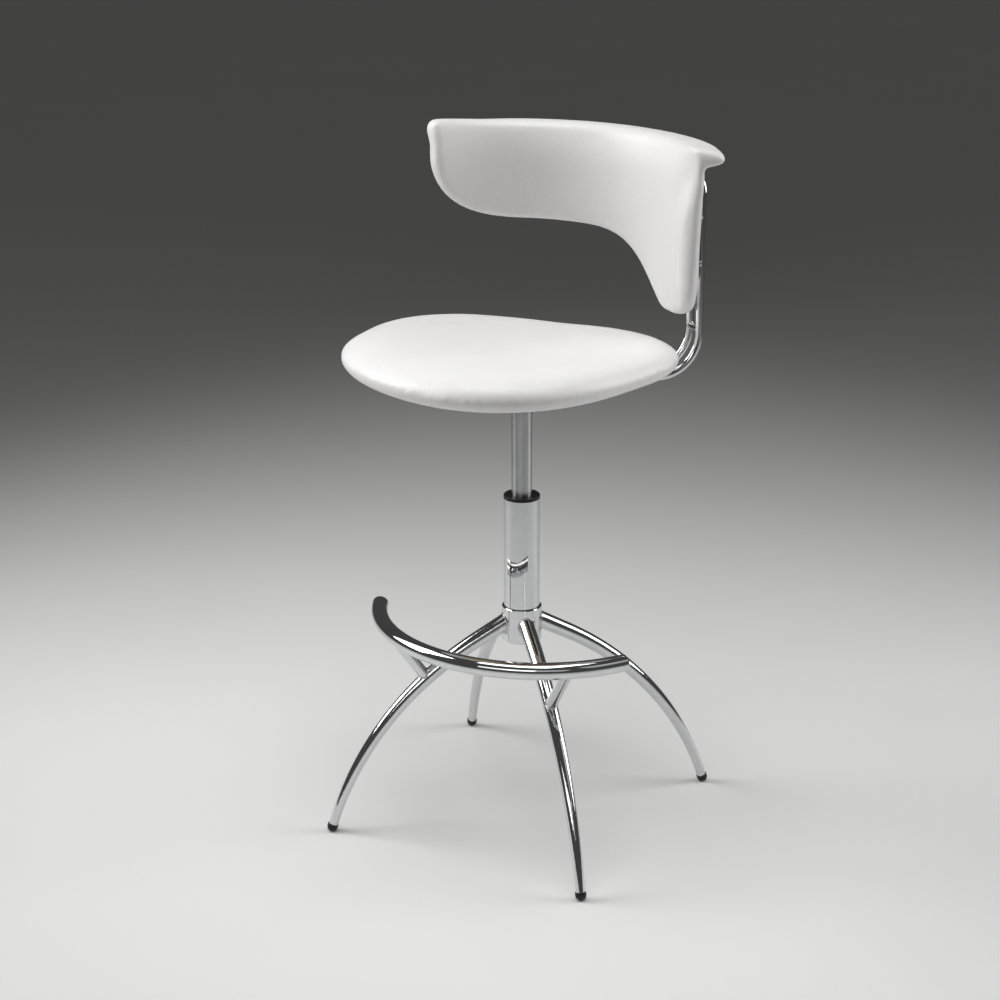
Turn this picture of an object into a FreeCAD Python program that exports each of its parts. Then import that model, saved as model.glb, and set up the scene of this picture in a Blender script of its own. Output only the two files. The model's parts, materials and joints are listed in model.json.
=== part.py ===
"""Adjustable swivel stool on four arched legs, with a footrest and a wrap-round backrest.

Millimetres. +Z is up. The origin is on the floor under the column's axis, and the footrest faces -Y.
The seat, its mechanism and the backrest are drawn facing local +X and then turned onto the diagonal.
"""
import FreeCAD, Part
import math
import os
import Sketcher

SIZES = {
    # floor stand
    "hub_radius": 27.5, "hub_bottom": 262.0, "hub_top": 312.0, "hub_bore": 26.4, "edge_break": 0.8,
    "leg_height": 286.5, "leg_slope": 28.5, "leg_turn": 42.5, "leg_run": 43.0, "leg_bend": 440.0,
    "leg_root_radius": 12.0, "leg_foot_radius": 6.5, "leg_wall": 1.5, "leg_lead": 12.0,
    "glide_radius": 7.5, "glide_skirt": 4.0, "glide_spigot": 9.0,
    "ring_radius": 223.0, "ring_height": 303.8, "ring_offset_x": 16.0, "ring_offset_y": 22.6,
    "ring_tube_radius": 11.5, "ring_tube_wall": 1.5, "ring_left_angle": 63.4, "ring_right_angle": 57.8,
    "ring_plug_depth": 12.0, "ring_plug_dome": 4.0, "ring_plug_play": 0.5,
    "strut_radius": 8.0, "strut_wall": 1.5, "strut_root": 137.0,
    # column
    "tube_radius": 25.0, "tube_wall": 2.0, "tube_top": 469.3, "sleeve_lip": 0.6,
    "base_disc_depth": 4.0, "bushing_top": 474.0, "bushing_length": 60.0, "sliding_gap": 0.05,
    "rod_radius": 5.0, "rod_bottom": 257.0, "rod_top": 442.0, "piston_depth": 10.0, "piston_radius": 10.9,
    "clip_radius": 9.0, "clip_depth": 1.2, "race_radius": 13.0, "race_depth": 1.0, "race_bore": 6.5,
    "ball_radius": 1.5, "ball_circle": 10.0, "ball_count": 12.0,
    "bump_radius": 12.0, "bump_depth": 7.0,
    # pressure cylinder
    "cylinder_radius": 14.0, "cylinder_bottom": 395.0, "cylinder_shoulder": 600.0, "cylinder_top": 623.0,
    "taper_radius": 13.2, "chamber_radius": 11.0, "chamber_top": 590.0, "gland_depth": 10.0,
    "valve_radius": 3.0, "valve_bottom": 604.0, "valve_top": 627.8,
    # seat mechanism
    "socket_radius": 19.0, "socket_top": 625.0, "socket_flange": 25.0,
    "housing_bottom": 606.0, "housing_wall": 3.0, "housing_width": 60.0, "housing_length": 100.0,
    "plate_bottom": 644.0, "plate_depth": 4.0, "plate_back": 120.0, "plate_front": 75.0,
    "plate_width": 140.0, "bolt_back": 106.0, "bolt_front": 60.0, "bolt_side": 56.0,
    "bolt_radius": 4.0, "bolt_head_radius": 6.5, "bolt_head_depth": 5.5, "bolt_reach": 12.0,
    "lever_radius": 4.0, "lever_height": 632.2, "lever_pivot": 25.0, "lever_tip": 6.0, "lever_run": 108.0,
    "lever_bend": 60.0, "lever_drop": 15.0, "lever_tail": 44.0, "pin_radius": 2.5, "pin_head": 4.0,
    "grip_radius": 8.5, "grip_length": 52.0, "grip_cover": 30.0,
    # seat
    "seat_centre_x": -23.0, "seat_centre_y": -21.0, "seat_bottom": 648.0, "seat_waist": 665.0,
    "seat_top": 682.0, "seat_crown": 7.0, "seat_edge": 30.0,
    "seat_half_x": 218.1, "seat_half_y": 190.8, "seat_squareness": 2.37, "seat_lobe": 14.0,
    "seat_lobe_angle": 40.4, "board_inset": 42.0, "board_depth": 10.0,
    "seat_corner": 7.5, "seat_corner_angle": 33.0, "seat_corner_width": 16.0,
    # backrest
    "hoop_radius": 244.0, "hoop_rod": 5.5, "hoop_spread": 18.0, "hoop_level": 630.0, "hoop_bend": 56.0,
    "hoop_top": 877.0, "hoop_inner_end": 62.0, "tie_radius": 4.0, "tie_height": 690.0,
    "clamp_near": 80.0, "clamp_far": 112.0, "clamp_half_width": 34.0, "clamp_bottom": 620.0,
    "clamp_screw_side": 28.0, "clamp_screw_radius": 2.5, "clamp_screw_head": 4.2,
    "pad_inner": 203.0, "pad_outer": 233.5, "pad_top": 951.0, "pad_near_angle": -18.7,
    "pad_far_angle": 108.4, "tongue_bottom": 709.0, "wing_bottom": 810.5,
    "lip_radius": 262.0, "lip_top": 944.0, "lip_bottom": 922.0, "lip_taper": 22.0, "lip_taper_start": 72.0,
    "crest_drop": 3.3,
    "panel_depth": 4.0, "panel_inset": 16.0,
    "bracket_low": 765.0, "bracket_high": 868.0, "bracket_half_angle": 8.0, "bracket_outer": 238.9,
    "bracket_screw_angle": 6.6, "bracket_screw_rise": 32.0, "bracket_screw_radius": 2.5,
    "bracket_screw_head": 4.5, "bracket_screw_cap": 2.8, "bracket_screw_reach": 7.0,
}

LEG_ANGLES = {"front_left": 225.0, "front_right": 315.0, "back_right": 45.0, "back_left": 135.0}
SEAT_TURN = 45.0

X_AXIS = FreeCAD.Vector(1, 0, 0)
Y_AXIS = FreeCAD.Vector(0, 1, 0)
Z_AXIS = FreeCAD.Vector(0, 0, 1)


class Size:
    """A length with its value and the sheet expression that gives it."""

    def __init__(self, value, text):
        self.value = value
        self.text = text

    def __add__(self, other):
        other = as_size(other)
        return Size(self.value + other.value, f"({self.text} + {other.text})")

    def __sub__(self, other):
        other = as_size(other)
        return Size(self.value - other.value, f"({self.text} - {other.text})")

    def __mul__(self, factor):
        factor = as_size(factor)
        return Size(self.value * factor.value, f"({self.text} * {factor.text})")

    def __neg__(self):
        return Size(-self.value, f"(0 - {self.text})")


def as_size(number):
    """Turn a plain number into a Size."""
    if isinstance(number, Size):
        return number
    return Size(float(number), repr(float(number)))


class Sheet:
    """The driving dimensions, by name, as Sizes read from the spreadsheet."""

    def __init__(self, cells):
        self.cells = cells

    def __getattr__(self, name):
        return Size(float(self.cells.get(name)), f"Sizes.{name}")


def make_sheet():
    cells = doc.addObject("Spreadsheet::Sheet", "Sizes")
    for row, (name, value) in enumerate(SIZES.items(), start=1):
        cells.set(f"A{row}", name)
        cells.set(f"B{row}", str(value))
        cells.setAlias(f"B{row}", name)
    doc.recompute()
    return Sheet(cells)


# ---------------------------------------------------------------- building blocks

def bind(item, prop, amount):
    item.setExpression(prop, as_size(amount).text)


def origin_plane(body, role):
    return next(f for f in body.Origin.OriginFeatures if f.Role == role)


def new_body(label):
    body = doc.addObject("PartDesign::Body", label)
    body.Label = label
    return body


def new_sketch(body, role, name):
    sketch = body.newObject("Sketcher::SketchObject", name)
    sketch.AttachmentSupport = [(origin_plane(body, role), "")]
    sketch.MapMode = "FlatFace"
    return sketch


def pin_point(sketch, geometry, point, x, y):
    """Hold one sketch point at sheet-driven coordinates."""
    for kind, amount, axis in (("DistanceX", x, -2), ("DistanceY", y, -1)):
        amount = as_size(amount)
        if amount.value == 0.0:
            sketch.addConstraint(Sketcher.Constraint("PointOnObject", geometry, point, axis))
            continue
        index = sketch.addConstraint(
            Sketcher.Constraint(kind, -1, 1, geometry, point, amount.value))
        sketch.setExpression(f"Constraints[{index}]", amount.text)


def draw_outline(sketch, points, closed=True):
    """Draw straight edges through the points, each held by the sheet."""
    places = [FreeCAD.Vector(as_size(x).value, as_size(y).value, 0) for x, y in points]
    count = len(points) if closed else len(points) - 1
    edges = []
    for i in range(count):
        edges.append(sketch.addGeometry(Part.LineSegment(places[i], places[(i + 1) % len(points)])))
    for i in range(1, count):
        sketch.addConstraint(Sketcher.Constraint("Coincident", edges[i - 1], 2, edges[i], 1))
    if closed:
        sketch.addConstraint(Sketcher.Constraint("Coincident", edges[-1], 2, edges[0], 1))
    for i, (x, y) in enumerate(points[:count]):
        pin_point(sketch, edges[i], 1, x, y)
    if not closed:
        pin_point(sketch, edges[-1], 2, *points[-1])


def draw_circle(sketch, x, y, radius):
    radius = as_size(radius)
    centre = FreeCAD.Vector(as_size(x).value, as_size(y).value, 0)
    edge = sketch.addGeometry(Part.Circle(centre, Z_AXIS, radius.value))
    pin_point(sketch, edge, 3, x, y)
    index = sketch.addConstraint(Sketcher.Constraint("Radius", edge, radius.value))
    sketch.setExpression(f"Constraints[{index}]", radius.text)


def add_revolve(body, sketch, axis="V_Axis", angle=360.0):
    revolve = body.newObject("PartDesign::Revolution", "Revolve")
    revolve.Profile = sketch
    revolve.ReferenceAxis = (sketch, [axis])
    revolve.Angle = angle
    return revolve


def turned(label, points):
    """A turned piece about the vertical axis, from (radius, height) points."""
    body = new_body(label)
    sketch = new_sketch(body, "XZ_Plane", "Profile")
    draw_outline(sketch, points)
    add_revolve(body, sketch)
    return body


def washer(label, inner, outer, low, high):
    return turned(label, [(inner, low), (outer, low), (outer, high), (inner, high)])


def slab(label, x_low, x_high, y_low, y_high, low, depth):
    """A rectangular block, padded up from the given height."""
    body = new_body(label)
    sketch = new_sketch(body, "XY_Plane", "Outline")
    bind(sketch, "AttachmentOffset.Base.z", low)
    draw_outline(sketch, [(x_low, y_low), (x_high, y_low), (x_high, y_high), (x_low, y_high)])
    pad = body.newObject("PartDesign::Pad", "Pad")
    pad.Profile = sketch
    bind(pad, "Length", depth)
    return body


def drill(body, places, radius, low, high):
    """Cut upright round holes through the body between two heights."""
    sketch = new_sketch(body, "XY_Plane", "Holes")
    bind(sketch, "AttachmentOffset.Base.z", low)
    for x, y in places:
        draw_circle(sketch, x, y, radius)
    pocket = body.newObject("PartDesign::Pocket", "Drill")
    pocket.Profile = sketch
    pocket.Reversed = True
    bind(pocket, "Length", as_size(high) - low)
    return body


def part_feature(label, shape, turn=0.0):
    """A shape made with Part's own functions, turned about the vertical axis."""
    item = doc.addObject("Part::Feature", label)
    item.Label = label
    item.Shape = shape
    item.Placement = upright(turn)
    return item


def upright(turn):
    return FreeCAD.Placement(FreeCAD.Vector(), FreeCAD.Rotation(Z_AXIS, turn))


def cut(label, base, tools):
    """Base less the tools, as a boolean feature with the node's label."""
    base.Label = label + "_blank"
    for i, tool in enumerate(tools):
        result = doc.addObject("Part::Cut", f"{label}_{i}")
        result.Base = base
        result.Tool = tool
        base = result
    base.Label = label
    return base


def cylinder_tool(name, radius, low, high):
    tool = doc.addObject("Part::Cylinder", name)
    bind(tool, "Radius", radius)
    bind(tool, "Height", as_size(high) - low)
    bind(tool, "Placement.Base.z", low)
    return tool


# ---------------------------------------------------------------- floor stand

def leg_end():
    """Where the leg's tube stops, in its own plane: along, down, and the last straight's length."""
    slope = math.radians(s.leg_slope.value)
    final = math.radians(s.leg_slope.value + s.leg_turn.value)
    bend = s.leg_bend.value
    run = s.leg_run.value
    r = s.hub_radius.value + run * math.cos(slope) + bend * (math.sin(final) - math.sin(slope))
    z = s.leg_height.value - run * math.sin(slope) - bend * (math.cos(slope) - math.cos(final))
    end_z = s.glide_radius.value + s.glide_skirt.value * math.sin(final)
    tail = (z - end_z) / math.sin(final)
    return r + tail * math.cos(final), end_z, tail


def leg_solid(inset):
    """A tapering bar along a straight, a bend and a short straight; inset thins it all round."""
    slope = math.radians(s.leg_slope.value)
    turn = math.radians(s.leg_turn.value)
    bend = s.leg_bend.value
    lead = s.leg_lead.value

    def step(point, angle, length):
        return point + FreeCAD.Vector(math.cos(angle), 0, -math.sin(angle)) * length

    start = step(FreeCAD.Vector(s.hub_radius.value, 0, s.leg_height.value), slope, -lead)
    bend_start = step(start, slope, lead + s.leg_run.value)
    chord = 2 * bend * math.sin(turn / 2)
    bend_end = step(bend_start, slope + turn / 2, chord)
    half_chord = 2 * bend * math.sin(turn / 4)
    bend_mid = step(bend_start, slope + turn / 4, half_chord)
    last = step(bend_end, slope + turn, leg_end()[2])
    spine = Part.Wire([
        Part.LineSegment(start, bend_start).toShape(),
        Part.Arc(bend_start, bend_mid, bend_end).toShape(),
        Part.LineSegment(bend_end, last).toShape(),
    ])
    root = Part.Circle(start, step(start, slope, 1) - start, s.leg_root_radius.value - inset)
    foot = Part.Circle(last, step(last, slope + turn, 1) - last, s.leg_foot_radius.value - inset)
    return spine.makePipeShell([Part.Wire(root.toShape()), Part.Wire(foot.toShape())], True, True)


def make_leg(label, turn):
    tube = leg_solid(0.0).cut(leg_solid(s.leg_wall.value))
    hub = Part.makeCylinder(s.hub_radius.value, s.hub_top.value)
    return part_feature(label, tube.cut(hub).Solids[0], turn)


def make_glide(label, turn):
    """A domed plastic glide with a spigot up the leg's tube."""
    spigot = doc.addObject("Part::Cylinder", label + "_spigot")
    bind(spigot, "Radius", s.leg_foot_radius - s.leg_wall)
    bind(spigot, "Height", s.glide_spigot)
    skirt = doc.addObject("Part::Cylinder", label + "_skirt")
    bind(skirt, "Radius", s.glide_radius)
    bind(skirt, "Height", s.glide_skirt)
    bind(skirt, "Placement.Base.z", -s.glide_skirt)
    dome = doc.addObject("Part::Sphere", label + "_dome")
    bind(dome, "Radius", s.glide_radius)
    dome.Angle2 = 0
    bind(dome, "Placement.Base.z", -s.glide_skirt)
    glide = doc.addObject("Part::MultiFuse", label)
    glide.Shapes = [spigot, skirt, dome]
    glide.Label = label
    along, height, _ = leg_end()
    lean = s.leg_slope.value + s.leg_turn.value - 90.0
    glide.Placement = upright(turn) * FreeCAD.Placement(
        FreeCAD.Vector(along, 0, height), FreeCAD.Rotation(Y_AXIS, lean))
    return glide


def ring_torus(name, radius):
    """The footrest's bar of the given radius, between its two free ends."""
    bar = doc.addObject("Part::Torus", name)
    bind(bar, "Radius1", s.ring_radius)
    bind(bar, "Radius2", radius)
    bind(bar, "Angle3", s.ring_left_angle + s.ring_right_angle)
    centre = FreeCAD.Vector(s.ring_offset_x.value, s.ring_offset_y.value, s.ring_height.value)
    bar.Placement = FreeCAD.Placement(centre, FreeCAD.Rotation(Z_AXIS, -90 - s.ring_left_angle.value))
    return bar


def make_footrest():
    outer = ring_torus("footrest_outer", s.ring_tube_radius)
    inner = ring_torus("footrest_inner", s.ring_tube_radius - s.ring_tube_wall)
    return cut("footrest", outer, [inner])


def make_ring_plug(label, angle, side):
    """A domed plug in the end of the footrest's tube; side is -1 on the left, +1 on the right."""
    spigot = s.ring_tube_radius - s.ring_tube_wall - s.ring_plug_play
    face = s.ring_tube_radius - s.edge_break
    plug = turned(label, [(0, -s.ring_plug_depth), (spigot, -s.ring_plug_depth), (spigot, 0),
                          (s.ring_tube_radius, 0), (s.ring_tube_radius, s.edge_break),
                          (face - 1.0, s.ring_plug_dome - 1.2), (face * 0.62, s.ring_plug_dome - 0.3),
                          (0, s.ring_plug_dome)])
    heading = math.radians(angle - 90.0)
    place = FreeCAD.Vector(s.ring_offset_x.value + s.ring_radius.value * math.cos(heading),
                           s.ring_offset_y.value + s.ring_radius.value * math.sin(heading),
                           s.ring_height.value)
    tangent = FreeCAD.Vector(-math.sin(heading), math.cos(heading), 0) * side
    plug.Placement = FreeCAD.Placement(place, FreeCAD.Rotation(Z_AXIS, tangent))
    return plug


def leg_height_at(radius):
    """Height of the leg's centre line at a distance from the column's axis."""
    slope = math.radians(s.leg_slope.value)
    bend_r = s.hub_radius.value + s.leg_run.value * math.cos(slope)
    bend_z = s.leg_height.value - s.leg_run.value * math.sin(slope)
    angle = math.asin(math.sin(slope) + (radius - bend_r) / s.leg_bend.value)
    return bend_z - s.leg_bend.value * (math.cos(slope) - math.cos(angle))


def ring_reach(turn):
    """Distance from the column's axis to the footrest's centre line in one direction."""
    heading = FreeCAD.Vector(math.cos(math.radians(turn)), math.sin(math.radians(turn)), 0)
    offset = FreeCAD.Vector(s.ring_offset_x.value, s.ring_offset_y.value, 0)
    along = heading * offset
    across = offset.Length ** 2 - along ** 2
    return along + math.sqrt(s.ring_radius.value ** 2 - across)


def make_strut(label, turn, ring):
    """A short tube in the leg's plane, coped onto the leg below and the footrest above."""
    root = FreeCAD.Vector(s.strut_root.value, 0, leg_height_at(s.strut_root.value))
    head = FreeCAD.Vector(ring_reach(turn), 0, s.ring_height.value)
    axis = head - root
    tube = Part.makeCylinder(s.strut_radius.value, axis.Length, root, axis)
    bore = Part.makeCylinder(s.strut_radius.value - s.strut_wall.value, axis.Length, root, axis)
    blank = part_feature(label, tube.cut(bore).cut(leg_solid(0.0)), turn)
    return cut(label, blank, [ring])


def make_hub():
    edge = s.edge_break
    return turned("hub", [(s.hub_bore, s.hub_bottom), (s.hub_radius - edge, s.hub_bottom),
                          (s.hub_radius, s.hub_bottom + edge), (s.hub_radius, s.hub_top - edge),
                          (s.hub_radius - edge, s.hub_top), (s.hub_bore, s.hub_top)])


def make_column():
    inner = s.tube_radius - s.tube_wall
    bore = s.cylinder_radius + s.sliding_gap
    disc_top = s.hub_bottom + s.base_disc_depth
    edge = s.edge_break
    washer("column_tube", inner, s.tube_radius, s.hub_bottom, s.tube_top)
    washer("column_sleeve", s.tube_radius, s.hub_bore, s.hub_bottom, s.hub_top + s.sleeve_lip)
    washer("column_base_disc", s.rod_radius + 0.5, inner, s.hub_bottom, disc_top)
    bushing_low = s.tube_top - s.bushing_length
    turned("guide_bushing", [(bore, bushing_low), (inner, bushing_low),
                             (inner, s.tube_top), (s.tube_radius, s.tube_top),
                             (s.tube_radius, s.bushing_top - edge), (s.tube_radius - edge, s.bushing_top),
                             (bore + edge, s.bushing_top), (bore, s.bushing_top - edge)])


def make_lift_rod():
    """The piston rod, which turns on the thrust bearing at the column's foot."""
    disc_top = s.hub_bottom + s.base_disc_depth
    ball_low = disc_top + s.race_depth
    ball_high = ball_low + s.ball_radius * 2
    bump_low = ball_high + s.race_depth
    piston_low = s.rod_top - s.piston_depth
    washer("bearing_lower_race", s.race_bore, s.race_radius, disc_top, ball_low)
    balls = []
    for i in range(int(s.ball_count.value)):
        angle = math.radians(360.0 * i / s.ball_count.value)
        centre = FreeCAD.Vector(s.ball_circle.value * math.cos(angle),
                                s.ball_circle.value * math.sin(angle),
                                ball_low.value + s.ball_radius.value)
        balls.append(Part.makeSphere(s.ball_radius.value, centre))
    part_feature("bearing_balls", Part.makeCompound(balls))
    washer("bearing_upper_race", s.rod_radius, s.race_radius, ball_high, bump_low)
    washer("bump_stop", s.rod_radius, s.bump_radius, bump_low, bump_low + s.bump_depth)
    turned("piston_rod", [(0, s.rod_bottom), (s.rod_radius - s.edge_break, s.rod_bottom),
                          (s.rod_radius, s.rod_bottom + s.edge_break), (s.rod_radius, s.rod_top),
                          (0, s.rod_top)])
    washer("piston", s.rod_radius, s.piston_radius, piston_low, s.rod_top)
    clip_high = s.hub_bottom - 0.4
    washer("rod_clip", s.rod_radius, s.clip_radius, clip_high - s.clip_depth, clip_high)


def make_cylinder():
    """The pressure cylinder: closed, tapered head above, sealed by a gland around the rod below."""
    valve_bore = s.valve_radius + s.sliding_gap
    turned("pressure_cylinder", [
        (s.chamber_radius, s.cylinder_bottom), (s.cylinder_radius, s.cylinder_bottom),
        (s.cylinder_radius, s.cylinder_shoulder), (s.taper_radius, s.cylinder_top),
        (valve_bore, s.cylinder_top), (valve_bore, s.chamber_top), (s.chamber_radius, s.chamber_top)])
    washer("cylinder_gland", s.rod_radius + s.sliding_gap, s.chamber_radius,
           s.cylinder_bottom, s.cylinder_bottom + s.gland_depth)
    turned("valve_pin", [(0, s.valve_bottom), (s.valve_radius, s.valve_bottom),
                         (s.valve_radius, s.valve_top - s.edge_break),
                         (s.valve_radius - s.edge_break, s.valve_top), (0, s.valve_top)])


# ---------------------------------------------------------------- seat mechanism

def seat_bolt_places():
    return [(x, y) for x in (s.bolt_back, -s.bolt_front) for y in (s.bolt_side, -s.bolt_side)]


def clamp_screw_places():
    inset = 8.0
    return [(x, y) for x in (s.clamp_near + inset, s.clamp_far - inset)
            for y in (s.clamp_screw_side, -s.clamp_screw_side)]


def screw_group(label, places, head_low, head_high, head_radius, shank_high, shank_radius):
    """Upright screws with their heads below, as one group of separate solids."""
    screws = []
    for x, y in places:
        foot = FreeCAD.Vector(as_size(x).value, as_size(y).value, head_low.value)
        head = Part.makeCylinder(head_radius.value, (head_high - head_low).value, foot)
        shank = Part.makeCylinder(shank_radius.value, (shank_high - head_low).value, foot)
        screws.append(head.fuse(shank).removeSplitter())
    return part_feature(label, Part.makeCompound(screws), SEAT_TURN)


def box_tool(name, x_low, x_size, y_low, y_size, low, depth):
    box = doc.addObject("Part::Box", name)
    for prop, amount in (("Length", x_size), ("Width", y_size), ("Height", depth),
                         ("Placement.Base.x", x_low), ("Placement.Base.y", y_low),
                         ("Placement.Base.z", low)):
        bind(box, prop, amount)
    return box


def cross_tool(name, radius, y, height, reach):
    """A round bar along local X, centred on the axis."""
    bar = doc.addObject("Part::Cylinder", name)
    bind(bar, "Radius", radius)
    bind(bar, "Height", as_size(reach) * 2)
    centre = FreeCAD.Vector(-as_size(reach).value, as_size(y).value, as_size(height).value)
    bar.Placement = FreeCAD.Placement(centre, FreeCAD.Rotation(Y_AXIS, 90))
    return bar


def make_socket():
    """A tapered socket that drops over the cylinder's head, with a flange on the housing floor."""
    high = s.socket_top
    floor = s.housing_bottom + s.housing_wall
    turned("taper_socket", [
        (s.cylinder_radius, s.cylinder_shoulder), (s.socket_radius, s.cylinder_shoulder),
        (s.socket_radius, floor), (s.socket_flange, floor), (s.socket_flange, floor + 3.0),
        (s.socket_radius, floor + 3.0), (s.socket_radius, high), (s.taper_radius, high),
        (s.taper_radius, s.cylinder_top)]).Placement = upright(SEAT_TURN)


def make_housing():
    """A pressed channel, open at both ends, that hangs under the seat plate."""
    half_x = s.housing_width * 0.5
    half_y = s.housing_length * 0.5
    depth = s.plate_bottom - s.housing_bottom
    inner_x = half_x - s.housing_wall
    blank = box_tool("housing_outer", -half_x, s.housing_width, -half_y, s.housing_length,
                     s.housing_bottom, depth)
    room = box_tool("housing_room", -inner_x, inner_x * 2, -half_y, s.housing_length,
                    s.housing_bottom + s.housing_wall, depth)
    mouth = cylinder_tool("housing_mouth", s.socket_radius, s.housing_bottom - 1.0, s.plate_bottom)
    pin = cross_tool("housing_pin_hole", s.pin_radius, s.lever_pivot, s.lever_height, half_x + 1.0)
    housing = cut("mechanism_housing", blank, [room, mouth, pin])
    housing.Placement = upright(SEAT_TURN)


def make_seat_plate():
    plate = slab("seat_plate", -s.plate_front, s.plate_back, s.plate_width * -0.5, s.plate_width * 0.5,
                 s.plate_bottom, s.plate_depth)
    top = s.plate_bottom + s.plate_depth
    drill(plate, seat_bolt_places(), s.bolt_radius, s.plate_bottom, top)
    drill(plate, clamp_screw_places(), s.clamp_screw_radius, s.plate_bottom, top)
    plate.Placement = upright(SEAT_TURN)
    head_low = s.plate_bottom - s.bolt_head_depth
    screw_group("seat_bolts", seat_bolt_places(), head_low, s.plate_bottom, s.bolt_head_radius,
                s.plate_bottom + s.bolt_reach, s.bolt_radius)


def swept_rod(edges, radius, start, heading):
    profile = Part.Wire(Part.Circle(start, heading, radius).toShape())
    return Part.Wire([edge.toShape() for edge in edges]).makePipeShell([profile], True, True)


def make_lever():
    """The height lever: its inner tip lies over the valve pin and its pivot is a cross pin."""
    height = s.lever_height.value
    drop = math.radians(s.lever_drop.value)
    bend = s.lever_bend.value
    start = FreeCAD.Vector(0, -s.lever_tip.value, height)
    bend_start = FreeCAD.Vector(0, s.lever_run.value, height)
    bend_mid = bend_start + FreeCAD.Vector(0, math.sin(drop / 2), math.cos(drop / 2) - 1) * bend
    bend_end = bend_start + FreeCAD.Vector(0, math.sin(drop), math.cos(drop) - 1) * bend
    away = FreeCAD.Vector(0, math.cos(drop), -math.sin(drop))
    last = bend_end + away * s.lever_tail.value
    rod = swept_rod([Part.LineSegment(start, bend_start), Part.Arc(bend_start, bend_mid, bend_end),
                     Part.LineSegment(bend_end, last)], s.lever_radius.value, start, Y_AXIS)
    reach = s.lever_radius.value * 2
    eye = Part.makeCylinder(s.pin_radius.value + s.sliding_gap.value, reach * 2,
                            FreeCAD.Vector(-reach, s.lever_pivot.value, height), X_AXIS)
    part_feature("release_lever", rod.cut(eye), SEAT_TURN)

    cover = s.grip_cover
    hole = s.lever_radius
    fat = s.grip_radius
    length = s.grip_length
    grip = turned("lever_grip", [
        (hole, 0), (hole + 1.5, 0), (fat - 2.0, 6.0), (fat - 0.4, 16.0), (fat, length - 14.0),
        (fat - 0.8, length - 6.0), (fat - 3.2, length - 1.4), (fat - 5.8, length), (0, length),
        (0, cover), (hole, cover)])
    seat_at = last - away * cover.value
    grip.Placement = upright(SEAT_TURN) * FreeCAD.Placement(seat_at, FreeCAD.Rotation(Z_AXIS, away))

    half = s.housing_width * 0.5
    shank = cross_tool("lever_pin_shank", s.pin_radius, s.lever_pivot, s.lever_height, half + 1.5)
    heads = []
    for side in (-1, 1):
        face = FreeCAD.Vector(side * half.value, s.lever_pivot.value, height)
        heads.append(Part.makeCylinder(s.pin_head.value, 1.8, face, X_AXIS * side))
    head = part_feature("lever_pin_heads", Part.makeCompound(heads))
    pin = doc.addObject("Part::MultiFuse", "lever_pivot_pin")
    pin.Shapes = [shank, head]
    pin.Label = "lever_pivot_pin"
    pin.Placement = upright(SEAT_TURN)


# ---------------------------------------------------------------- seat

def seat_outline(inset, height, count=24):
    """The seat's plan shape: a squared oval with three soft lobes and one fuller corner."""
    points = []
    power = s.seat_squareness.value
    for i in range(count):
        angle = 2 * math.pi * i / count
        flat = (abs(math.cos(angle)) / s.seat_half_x.value) ** power
        flat += (abs(math.sin(angle)) / s.seat_half_y.value) ** power
        lobe = math.radians(s.seat_lobe_angle.value)
        radius = flat ** (-1 / power) + s.seat_lobe.value * math.cos(3 * (angle - lobe)) - inset
        away = math.remainder(angle - math.radians(s.seat_corner_angle.value), 2 * math.pi)
        away /= math.radians(s.seat_corner_width.value)
        radius += s.seat_corner.value * math.exp(-away ** 2 / 2)
        points.append(FreeCAD.Vector(s.seat_centre_x.value + radius * math.cos(angle),
                                     s.seat_centre_y.value + radius * math.sin(angle), height))
    curve = Part.BSplineCurve()
    curve.interpolate(points, PeriodicFlag=True)
    return Part.Wire(curve.toShape())


def make_seat():
    low = s.seat_bottom.value
    waist = s.seat_waist.value
    half = s.seat_top.value - waist
    edge = s.seat_edge.value
    rings = []
    for degrees in (-90, -55, -25, 0, 25, 55, 90):
        angle = math.radians(degrees)
        rings.append(seat_outline(edge * (1 - math.cos(angle)), waist + half * math.sin(angle)))
    rings.append(seat_outline(75.0, s.seat_top.value + s.seat_crown.value * 0.6))
    rings.append(seat_outline(130.0, s.seat_top.value + s.seat_crown.value))
    body = Part.makeLoft(rings, True, False)
    board_face = Part.Face(seat_outline(s.board_inset.value, low))
    board = board_face.extrude(Z_AXIS * s.board_depth.value)
    part_feature("seat_cushion", body.cut(board))
    blank = part_feature("seat_board_blank", board)
    holes = []
    for x, y in seat_bolt_places():
        foot = FreeCAD.Vector(x.value, y.value, low)
        holes.append(Part.makeCylinder(s.bolt_radius.value, s.bolt_reach.value - s.plate_depth.value, foot))
    tool = part_feature("seat_board_holes", Part.makeCompound(holes), SEAT_TURN)
    cut("seat_board", blank, [tool])


# ---------------------------------------------------------------- backrest

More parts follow.
